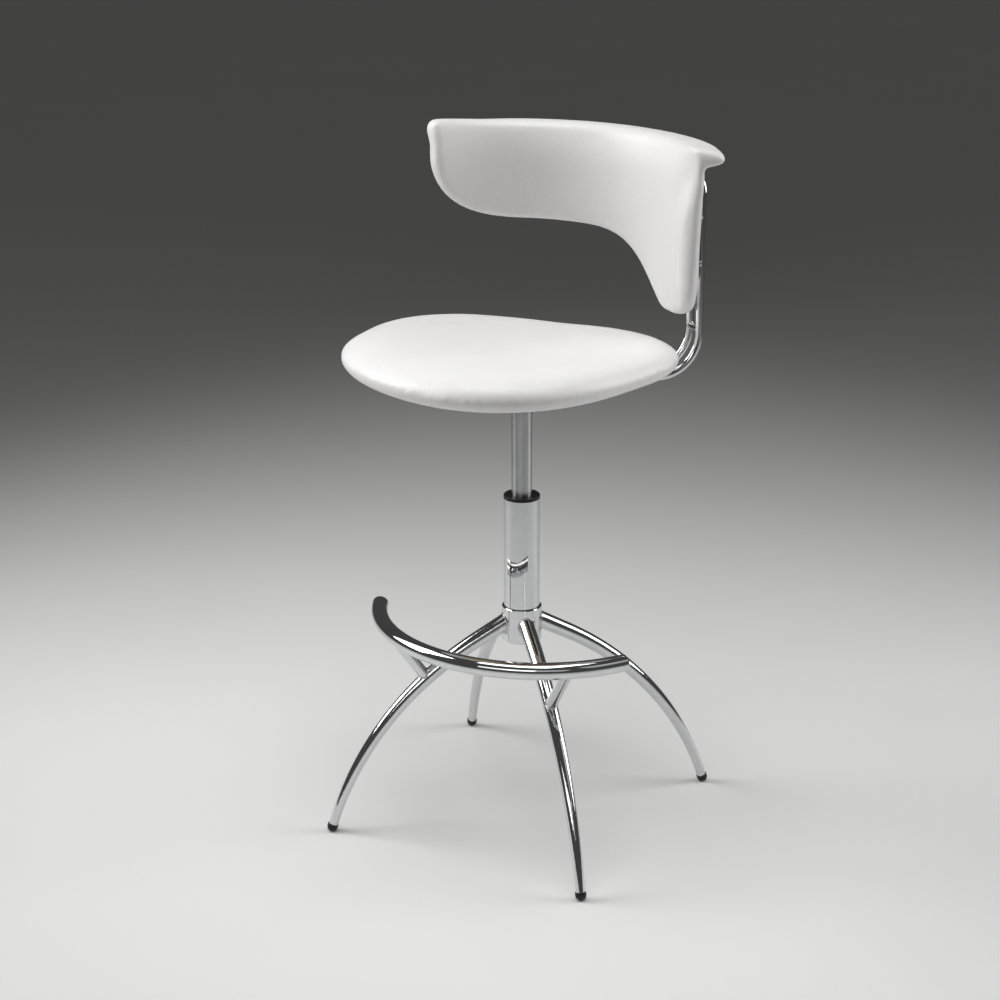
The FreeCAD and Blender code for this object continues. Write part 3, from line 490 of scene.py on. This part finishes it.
def make_seat():
    """A crowned foam cushion whose leather rolls over a full rim and turns under the board."""
    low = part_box("seat_cushion")[0].z / MM
    board_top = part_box("seat_board")[1].z / MM + 0.4
    waist = low + SEAT_WAIST
    lower = [(SEAT_TUCK, share, board_top) for share in (0.98, 0.5, 0.0)]
    lower += [(SEAT_TUCK - 1.0, 0.0, low - 0.6), (36.0, 0.0, low - 1.2)]
    for degrees in range(-90, 1, 6):
        angle = math.radians(degrees)
        lower.append((SEAT_TURN_UNDER - 29.6 * math.cos(angle), 0.0, waist + 17.0 * math.sin(angle)))
    upper = [(inset - 0.8, 0.0, waist + seat_crown(inset))
             for inset in (0.5, 2.0, 4.5, 8.0, 12.5, 18.0, 24.5, 32.0, 40.0, 49.0, SEAT_INNER)]
    upper += [(SEAT_INNER - 0.8, share, waist + seat_crown(SEAT_INNER + share * SEAT_DRAW))
              for share in (0.08, 0.18, 0.3, 0.45, 0.6, 0.75, 0.88, 0.98)]
    count = 180
    points = np.concatenate([seat_rings(lower, count), seat_rings(upper, count, seat_shoulder)])
    faces = grid_faces(len(lower) + len(upper), count, columns_close=True) + end_caps(count, len(points))
    seat = mesh_piece("seat_upholstery", points, faces, MATERIALS["white_leather"])
    even_out(seat, 0.0045, 4)
    under = (low + 2.0) * MM
    swell(seat, pressure=4.0, cap=0.0030, held=lambda p: p[:, 2] < under, passes=10)
    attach(seat, "seat")
    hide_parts("seat_cushion")


def make_seat_hem():
    """The leather's turned-under edge, drawn into small pleats round the board."""
    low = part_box("seat_cushion")[0].z / MM
    chance = np.random.default_rng(7)
    phase = chance.uniform(0, 2 * math.pi, 8)

    def pleat(turn, inset):
        fold = np.clip((inset - 36.0) / 16.0, 0.0, 1.0)
        wave = np.sin(64 * turn + 1.5 * np.sin(5 * turn + phase[0]))
        wave = wave * (0.7 + 0.3 * np.sin(9 * turn + phase[1]))
        return -0.45 * fold * np.abs(wave)

    rows = [(33.0, 0.0, low + 0.3), (35.0, 0.0, low - 0.6), (38.0, 0.0, low - 1.1),
            (42.0, 0.0, low - 1.25), (46.0, 0.0, low - 1.2), (51.0, 0.0, low - 1.0),
            (55.0, 0.0, low - 0.8), (56.2, 0.0, low - 0.4), (56.4, 0.0, low + 0.0)]
    count = 720
    points = seat_rings(rows, count, pleat)
    hem = mesh_piece("seat_hem", points, grid_faces(len(rows), count, columns_close=True),
                     MATERIALS["white_leather"])
    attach(hem, "seat")


# ---------------------------------------------------------------- backrest

PAD_START, PAD_END = -18.7, 108.4          # the pad's two ends, as angles from the hoop
PAD_MID, PAD_HALF, PAD_OUTER = 218.25, 15.25, 233.5   # middle radius, half thickness, outer radius
PAD_LESS = 2.0                             # thickness left out, for the swelling to fill
TONGUE_LOW, TONGUE_RISE = 709.0, 101.5     # the tongue's foot, and the wing's lower edge above it
FAR_LIFT, FAR_POWER = 120.0, 2.6           # how the lower edge turns up at the wing's free end
NEAR_LIFT = 62.0                           # and how far it turns up at the near end
CREST_DROP = 3.3
INNER_TOP, OUTER_TOP = 936.0, 906.0        # where the rim joins the inner and the outer face
PANEL_TOP, PANEL_INSET = 897.0, 15.6       # the back panel's top, and its distance from the pad's edge
RECESS_DEPTH = 6.0
NEAR_NOSE, NEAR_FLARE, NEAR_LEAN = 8.0, 18.0, 42.0


def pad_low(angle):
    """The pad's lower edge round the back: a tongue at the hoop and a shallow wing beside it."""
    angle = np.asarray(angle, float)
    rise = TONGUE_RISE * (1 - np.exp(-((np.maximum(angle - 7.0, 0.0) / 18.5) ** 1.7)))
    far = np.clip((angle - 69.0) / 40.0, 0.0, 1.0)
    near = np.clip((3.5 - angle) / 22.4, 0.0, 1.0)
    sag = 2.5 * np.exp(-((angle - 52.0) / 14.0) ** 2 / 2)
    return (TONGUE_LOW + rise + FAR_LIFT * (1 - (1 - far ** FAR_POWER) ** (1 / FAR_POWER))
            + NEAR_LIFT * (1 - np.sqrt(1 - near ** 2)) - sag)


def crest_rise(angle):
    """How far the top edge stands above or below its middle height."""
    share = np.clip((angle - 20.0) / 90.0, 0.0, 1.0)
    lifted = 2.2 * np.clip((angle - 88.0) / 14.0, 0.0, 1.0)
    return CREST_DROP * (2.12 * share ** 1.3 - 1) + lifted


def along(angle):
    return PAD_MID * np.radians(angle)


def edge_distance(angle, height):
    """Distance in the unrolled sheet from each point to the pad's lower edge and two ends."""
    sweep = np.linspace(PAD_START, PAD_END, 420)
    line = np.stack([along(sweep), pad_low(sweep)], axis=1)
    line = np.concatenate([[[along(PAD_START), 1200.0]], line, [[along(PAD_END), 1200.0]]])
    start, step = line[:-1], np.diff(line, axis=0)
    reach = (step ** 2).sum(axis=1)
    points = np.stack([along(angle).ravel(), height.ravel()], axis=1)
    best = np.empty(len(points))
    for i in range(0, len(points), 4000):
        part = points[i:i + 4000, None, :]
        share = np.clip(((part - start) * step).sum(axis=2) / reach, 0.0, 1.0)
        gap = part - (start + share[..., None] * step)
        best[i:i + 4000] = np.sqrt((gap ** 2).sum(axis=2)).min(axis=1)
    return best.reshape(np.shape(angle))


def rounding(distance, radius, power):
    """0 at the edge, rising to 1 at the radius along a rounded curve."""
    return (1 - (1 - np.clip(distance / radius, 0.0, 1.0)) ** power) ** (1 / power)


def smooth_step(share):
    share = np.clip(share, 0.0, 1.0)
    return share * share * (3 - 2 * share)


def lip_reach(angle):
    """The radius of the lip's outer edge."""
    share = np.clip((angle - 72.0) / (PAD_END - 72.0), 0.0, 1.0)
    return 262.0 - 22.0 * share ** 1.5


def curve_through(points, count):
    """Even samples on a smooth curve through the points, in any number of dimensions."""
    points = np.asarray(points, float)
    padded = np.concatenate([[2 * points[0] - points[1]], points, [2 * points[-1] - points[-2]]])
    spans = len(points) - 1
    out = []
    for t in np.linspace(0, spans, count):
        i = min(int(t), spans - 1)
        u = t - i
        a, b, c, d = padded[i:i + 4]
        out.append(0.5 * (2 * b + (c - a) * u + (2 * a - 5 * b + 4 * c - d) * u * u
                          + (3 * b - a - 3 * c + d) * u ** 3))
    return np.array(out)


def from_polar(radius, angle, height):
    heading = np.radians(angle) + SEAT_TURN
    return np.stack([radius * np.cos(heading), radius * np.sin(heading), height + 0 * radius],
                    axis=-1) * MM


def end_steps(length):
    """Distances along a strip, close together at both ends."""
    near = np.array([0.0, 0.4, 1.2, 2.4, 4.0, 6.0, 8.5, 11.5, 15.0])
    middle = np.linspace(15.0, length - 15.0, int(length / 4.5))[1:-1]
    return np.concatenate([near, middle, length - near[::-1]])


def near_shape(near):
    """How far the near end bulges outwards, and how far its inner face opens at the top."""
    nose = NEAR_NOSE * np.clip(1 - near / 36.0, 0.0, 1.0) ** 2
    flare = NEAR_FLARE * np.clip(1 - near / 56.0, 0.0, 1.0) ** 2
    return nose, flare


def pad_sheet(angle, near, crest):
    """Radius and height over the pad's inner and outer faces, from its lower edge up to the rim."""
    nose, flare = near_shape(near)
    spine = PAD_MID + nose
    low = pad_low(angle)[:, None]
    rise = np.linspace(0, 1, 44) ** 1.6
    inner_z = low + (INNER_TOP + crest - low) * rise
    outer_z = low + (OUTER_TOP - low) * rise
    turn = np.repeat(angle[:, None], len(rise), axis=1)
    inner_gap = edge_distance(turn, inner_z)
    outer_gap = edge_distance(turn, outer_z)
    high = smooth_step((inner_z - 845.0) / 75.0)
    soft = 10.0 + 20.0 * smooth_step(1 - near / 62.0) * (1 - high)
    roll = 5.0 * np.clip((inner_z - crest - 888.0) / 48.0, 0.0, 1.0) ** 2
    depth = PAD_HALF + nose - PAD_LESS - roll - flare * high
    inner_r = spine - depth * rounding(inner_gap, soft, 2.2)
    outer_r = spine + (PAD_HALF - nose) * rounding(outer_gap, 14.0, 2.3)
    recess = np.clip((outer_gap - 15.0) / 3.0, 0, 1) * np.clip((PANEL_TOP + 2.0 - outer_z) / 4.0, 0, 1)
    return inner_r, inner_z, outer_r - RECESS_DEPTH * recess, outer_z


def pad_rim(angle, near, crest):
    """Radius and height over the crest and the lip, drawn in to a round tip at both ends."""
    less, out = PAD_LESS, PAD_OUTER
    nose, flare = near_shape(near)
    spine = PAD_MID + nose
    base = [(208.0 + less, 936.0, 0), (209.4 + less, 941.0, 0), (212.2 + less / 2, 945.6 - less / 2, 0),
            (216.4, 949.2 - less, 0), (222.0, 950.9 - less, 0), (out, 949.2 - less, 0),
            (out, 945.2 - less, 0.56), (out, 940.0 - less / 2, 0.90), (out, 932.5, 1.02),
            (out, 925.0, 0.90), (out, 923.2, 0.5), (out, 923.4, 0.2),
            (out, 921.0, 0.03), (out, 916.0, 0.0), (out, 906.0, 0.0)]
    rim = curve_through(base, 56)[1:-1]
    lip = lip_reach(angle)[:, None] - out
    thickness = PAD_HALF - less - 5.0
    inside = np.clip((PAD_MID - rim[None, :, 0]) / thickness, 0.0, 1.0)
    drawn = spine - inside * (thickness + nose - flare)
    radius = np.where(inside > 0.0, drawn, np.maximum(rim[:, 0] + lip * rim[:, 2], spine))
    height = rim[None, :, 1] + crest * np.clip((rim[None, :, 1] - OUTER_TOP) / 15.0, 0.0, 1.0)
    tip = np.maximum(lip + out - 11.0 - spine, 1.0)
    share = np.clip((radius - spine) / tip, 0, 1)
    end_gap = np.minimum(near, along(PAD_END) - along(PAD_START) - near)
    shrink = rounding(end_gap, 10.0 + 2.0 * share, 2.2)
    below_lip = height < 921.0
    core_r = np.where(below_lip, spine, spine + share * tip)
    core_z = np.where(below_lip, height, INNER_TOP - 4.0 * share + crest)
    return core_r + (radius - core_r) * shrink, core_z + (height - core_z) * shrink


def make_pad():
    """The padded back: a rounded sheet with a lip that rolls outwards along its top."""
    strip = along(PAD_END) - along(PAD_START)
    angle = PAD_START + np.degrees(end_steps(strip) / PAD_MID)
    near = (along(angle) - along(PAD_START))[:, None]
    crest = crest_rise(angle)[:, None]
    inner_r, inner_z, outer_r, outer_z = pad_sheet(angle, near, crest)
    rim_r, rim_z = pad_rim(angle, near, crest)
    radius = np.concatenate([inner_r, rim_r, outer_r[:, ::-1][:, :-1]], axis=1)
    height = np.concatenate([inner_z, rim_z, outer_z[:, ::-1][:, :-1]], axis=1)
    radius += smooth_step(1 - near / NEAR_LEAN) * np.interp(
        height, (700.0, 735.0, 790.0, 905.0, 925.0, 940.0), (-4.0, -3.5, -1.5, 4.0, 2.5, 0.0))
    columns = radius.shape[1]
    turn = np.repeat(angle[:, None], columns, axis=1)
    points = from_polar(radius, turn, height).reshape(-1, 3)
    faces = grid_faces(len(angle), columns, columns_close=True) + end_caps(columns, len(points))
    pad = mesh_piece("backrest_upholstery", points, faces, MATERIALS["white_leather"])
    even_out(pad, 0.004, 4)

    def held(p):
        away = np.hypot(p[:, 0], p[:, 1])
        return (away > 0.2250) & (p[:, 2] < 0.905)

    swell(pad, pressure=4.0, cap=0.0032, held=held, passes=4)
    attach(pad, "seat")
    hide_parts("backrest_pad")


def make_back_panel():
    """The leather-covered panel that closes the back, set in from the pad's edge all round."""
    top, inset = PANEL_TOP, PANEL_INSET
    angle = PAD_START + np.degrees(np.linspace(inset, along(PAD_END) - along(PAD_START) - inset, 150)
                                   / PAD_MID)
    column = np.linspace(0, 1, 400)
    low = pad_low(angle)
    tall = low[:, None] + (top - low)[:, None] * column
    gap = edge_distance(np.repeat(angle[:, None], len(column), axis=1), tall)
    first = np.argmax(gap >= inset - 0.01, axis=1)
    start = tall[np.arange(len(angle)), first]
    keep = (gap.max(axis=1) >= inset - 0.01) & (top - start > 3.0)
    angle, start = angle[keep], start[keep]
    rise = 0.5 - 0.5 * np.cos(np.linspace(0, math.pi, 60))
    height = start[:, None] + (top - start)[:, None] * rise
    turn = np.repeat(angle[:, None], len(rise), axis=1)
    inside = np.minimum(edge_distance(turn, height) - inset, top - height)
    outer = PAD_OUTER - 3.4 + 3.3 * rounding(np.maximum(inside, 0.0), 3.5, 2.0)
    points = from_polar(outer, turn, height).reshape(-1, 3)
    back = from_polar(np.full_like(outer, PAD_OUTER - RECESS_DEPTH), turn, height).reshape(-1, 3)
    rows, columns = outer.shape
    faces = grid_faces(rows, columns)
    offset = rows * columns
    edge = ([i for i in range(columns)] + [i * columns + columns - 1 for i in range(1, rows)]
            + [(rows - 1) * columns + i for i in range(columns - 2, -1, -1)]
            + [i * columns for i in range(rows - 2, 0, -1)])
    for one, other in zip(edge, edge[1:] + edge[:1]):
        faces.append((one, one + offset, other + offset, other))
    panel = mesh_piece("back_panel", np.concatenate([points, back]), faces, MATERIALS["white_leather"])
    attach(panel, "seat")
    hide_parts("backrest_panel")


make_seat()
make_seat_hem()
make_pad()
make_back_panel()


# ---------------------------------------------------------------- weld beads

LEG_TURNS = {"front_left": 225.0, "front_right": 315.0, "back_right": 45.0, "back_left": 135.0}
LEG_ROOT, LEG_SLOPE = (27.5, 286.5), 28.5            # out and up to the leg's root, and its fall there
LEG_REACH, STRUT_REACH = 0.0122, 0.0082              # a little over each tube's radius, in metres
STRUT_FOOT, STRUT_HEAD_Z = (137.0, 217.4), 303.8
STRUT_HEADS = {"left": 195.7, "right": 216.7}
HOOP_TURN, HOOP_RADIUS, HOOP_SPREAD, HOOP_ROD = 45.0, 244.0, 18.0, 5.5
TIE_Z, TIE_REACH = 690.0, 4.2
BRACKET_FACE, BRACKET_RUNS = 239.3, ((772.0, 792.0), (842.0, 862.0))


def node_tree(name):
    """A ray-castable copy of one CAD object, in world space."""
    node = nodes[name]
    corners = [node.matrix_world @ v.co for v in node.data.vertices]
    return BVHTree.FromPolygons(corners, [tuple(p.vertices) for p in node.data.polygons])


def cast_ring(tree, origin, direction, radius, count=40):
    """Where a tube's outer surface, followed along its axis, meets another body."""
    direction = direction.normalized()
    side = direction.orthogonal().normalized()
    other = direction.cross(side)
    hits = []
    for i in range(count):
        turn = 2 * math.pi * i / count
        start = origin + (side * math.cos(turn) + other * math.sin(turn)) * radius
        hit = tree.ray_cast(start, direction, 0.25)[0]
        if hit is not None:
            hits.append(hit)
    return hits


def bead(name, path, width, seed, closed=True):
    """A lumpy weld bead along a path of points, with ripples along the run."""
    path = np.array([tuple(p) for p in path])
    chance = np.random.default_rng(seed)
    steps = np.linalg.norm(np.roll(path, -1, axis=0) - path, axis=1)
    length = steps.sum() if closed else steps[:-1].sum()
    count = max(int(length / 0.0005), 24)
    place = np.concatenate([[0.0], np.cumsum(steps)])
    whole = np.concatenate([path, path[:1]])
    at = np.linspace(0.0, length, count, endpoint=not closed)
    line = np.stack([np.interp(at, place, whole[:, k]) for k in range(3)], axis=1)
    if closed:
        tangent = np.roll(line, -1, axis=0) - np.roll(line, 1, axis=0)
    else:
        tangent = np.gradient(line, axis=0)
    tangent /= np.linalg.norm(tangent, axis=1, keepdims=True)
    helper = np.where(np.abs(tangent[:, 2:3]) > 0.8, [[1.0, 0.0, 0.0]], [[0.0, 0.0, 1.0]])
    side = np.cross(tangent, helper)
    side /= np.linalg.norm(side, axis=1, keepdims=True)
    up = np.cross(side, tangent)
    ripple = 1.0 + 0.16 * np.abs(np.sin(math.pi * at / 0.0019)) + 0.05 * chance.normal(size=count)
    if not closed:
        ripple = ripple * np.sqrt(np.clip(np.minimum(at, length - at) / width, 0.02, 1.0))
    sides = 10
    turn = 2 * math.pi * np.arange(sides) / sides
    ring = side[:, None, :] * np.cos(turn)[None, :, None] + up[:, None, :] * np.sin(turn)[None, :, None]
    points = line[:, None, :] + ring * (width * ripple)[:, None, None]
    faces = grid_faces(count, sides, rows_close=closed, columns_close=True)
    if not closed:
        faces += [tuple(range(sides))[::-1], tuple(range((count - 1) * sides, count * sides))]
    return mesh_piece(name, points.reshape(-1, 3), faces, WELD)


def turned_point(turn, along_leg, height, across=0.0):
    heading = math.radians(turn)
    return Vector((along_leg * math.cos(heading) - across * math.sin(heading),
                   along_leg * math.sin(heading) + across * math.cos(heading), height)) * MM


def keep_weld(seam, body):
    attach(seam, body)


def weld_legs():
    """A bead where each leg runs into the hub."""
    hub = node_tree("hub")
    slope = math.radians(LEG_SLOPE)
    root, root_z = LEG_ROOT
    for seed, (label, turn) in enumerate(LEG_TURNS.items()):
        out = turned_point(turn, root + 40.0 * math.cos(slope), root_z - 40.0 * math.sin(slope))
        path = cast_ring(hub, out, turned_point(turn, root, root_z) - out, LEG_REACH)
        keep_weld(bead(f"weld_leg_{label}", path, 0.0011, seed), "base")


def weld_struts():
    """A bead at both ends of each footrest strut."""
    ring = node_tree("footrest")
    for seed, (side, head_along) in enumerate(STRUT_HEADS.items()):
        turn = LEG_TURNS[f"front_{side}"]
        leg = node_tree(f"leg_front_{side}")
        foot = turned_point(turn, *STRUT_FOOT)
        head = turned_point(turn, head_along, STRUT_HEAD_Z)
        middle = (foot + head) / 2
        for end, tree, toward in (("low", leg, foot - head), ("high", ring, head - foot)):
            path = cast_ring(tree, middle, toward, STRUT_REACH)
            keep_weld(bead(f"weld_strut_{side}_{end}", path, 0.0010, 20 + seed), "base")


def weld_hoop():
    """Beads where the tie meets each rod of the hoop, and where the bracket's two bars do."""
    for seed, side in enumerate((-1, 1)):
        path = []
        for i in range(36):
            turn = 2 * math.pi * i / 36
            across = TIE_REACH * math.cos(turn)
            inner = HOOP_SPREAD - math.sqrt(HOOP_ROD ** 2 - across ** 2)
            path.append(turned_point(HOOP_TURN, HOOP_RADIUS + across,
                                     TIE_Z + TIE_REACH * math.sin(turn), side * inner))
        keep_weld(bead(f"weld_tie_{'near' if side < 0 else 'far'}", path, 0.0008, 30 + seed), "seat")
        for k, (low, high) in enumerate(BRACKET_RUNS):
            for m, lean in enumerate((-3.4, 3.4)):
                path = [turned_point(HOOP_TURN, BRACKET_FACE, low + (high - low) * i / 12,
                                     side * HOOP_SPREAD + lean) for i in range(13)]
                name = f"weld_bracket_{seed}{k}{m}"
                keep_weld(bead(name, path, 0.0013, 40 + 4 * seed + 2 * k + m, closed=False), "seat")


weld_legs()
weld_struts()
weld_hoop()


# ---------------------------------------------------------------- floor, light, camera

def floor_material():
    made = Shader("studio_floor", (0.72, 0.72, 0.715), 0.55)
    made.colour(made.blend(made.noise(0.8, detail=3.0), (0.79, 0.79, 0.785), (0.76, 0.76, 0.755)))
    made.rough(made.ramp(made.noise(3.0), 0.3, 0.7, 0.5, 0.62))
    return made.material


def make_floor(radius=14.0, count=96):
    ring = [(radius * math.cos(2 * math.pi * i / count), radius * math.sin(2 * math.pi * i / count), 0.0)
            for i in range(count)]
    floor = mesh_piece("studio_floor", ring, [tuple(range(count))], floor_material(), smooth=False)


# name: place, target, width and height, watts, spread in degrees
LIGHTS = {
    "overhead": ((0.02, -0.33, 2.6), (0.02, -0.23, 0.0), (1.5, 1.5), 7.3, 86.0),
    "key_left": ((-1.9, -0.75, 1.75), (0.0, 0.0, 0.55), (1.3, 1.7), 16.0, 104.0),
    "side_right": ((1.9, 1.25, 1.5), (0.0, 0.0, 0.45), (1.3, 1.8), 11.4, 108.0),
    "floor_front": ((1.5, -2.95, 1.8), (1.15, -2.1, 0.0), (2.4, 1.2), 3.5, 110.0),
    "floor_right": ((2.3, -0.3, 1.7), (1.9, -0.2, 0.0), (1.6, 1.6), 2.5, 100.0),
    "front_fill": ((0.4, -3.4, 2.0), (0.0, 0.0, 0.55), (2.4, 0.9), 5.0, 120.0),
}
SURROUND = (0.068, 0.068, 0.067)
CAMERA_PLACE, CAMERA_TARGET = (1.2611, -2.3054, 1.3795), (-0.02594, -0.01458, 0.46525)
CAMERA_LENS, CAMERA_ROLL = 73.39, -0.2


def make_lights():
    for name, (place, target, size, power, spread) in LIGHTS.items():
        light = bpy.data.lights.new(name, "AREA")
        light.shape = "RECTANGLE"
        light.size, light.size_y = size
        light.energy = power
        light.spread = math.radians(spread)
        holder = bpy.data.objects.new(name, light)
        scene.collection.objects.link(holder)
        holder.location = place
        holder.rotation_mode = "QUATERNION"
        holder.rotation_quaternion = (Vector(target) - Vector(place)).to_track_quat("-Z", "Y")


def make_world():
    world = bpy.data.worlds.new("studio")
    scene.world = world
    world.use_nodes = True
    background = next(n for n in world.node_tree.nodes if n.type == "BACKGROUND")
    background.inputs["Color"].default_value = (*SURROUND, 1.0)
    background.inputs["Strength"].default_value = 1.0


def make_camera():
    camera = bpy.data.cameras.new("camera")
    camera.lens = CAMERA_LENS
    camera.sensor_width = 36.0
    holder = bpy.data.objects.new("camera", camera)
    scene.collection.objects.link(holder)
    place = Vector(CAMERA_PLACE)
    aim = (Vector(CAMERA_TARGET) - place).to_track_quat("-Z", "Y").to_matrix()
    roll = Matrix.Rotation(math.radians(CAMERA_ROLL), 3, "Z")
    holder.matrix_world = Matrix.Translation(place) @ (aim @ roll).to_4x4()
    scene.camera = holder


make_floor()
make_world()
make_lights()
make_camera()
scene.view_settings.view_transform = "Standard"
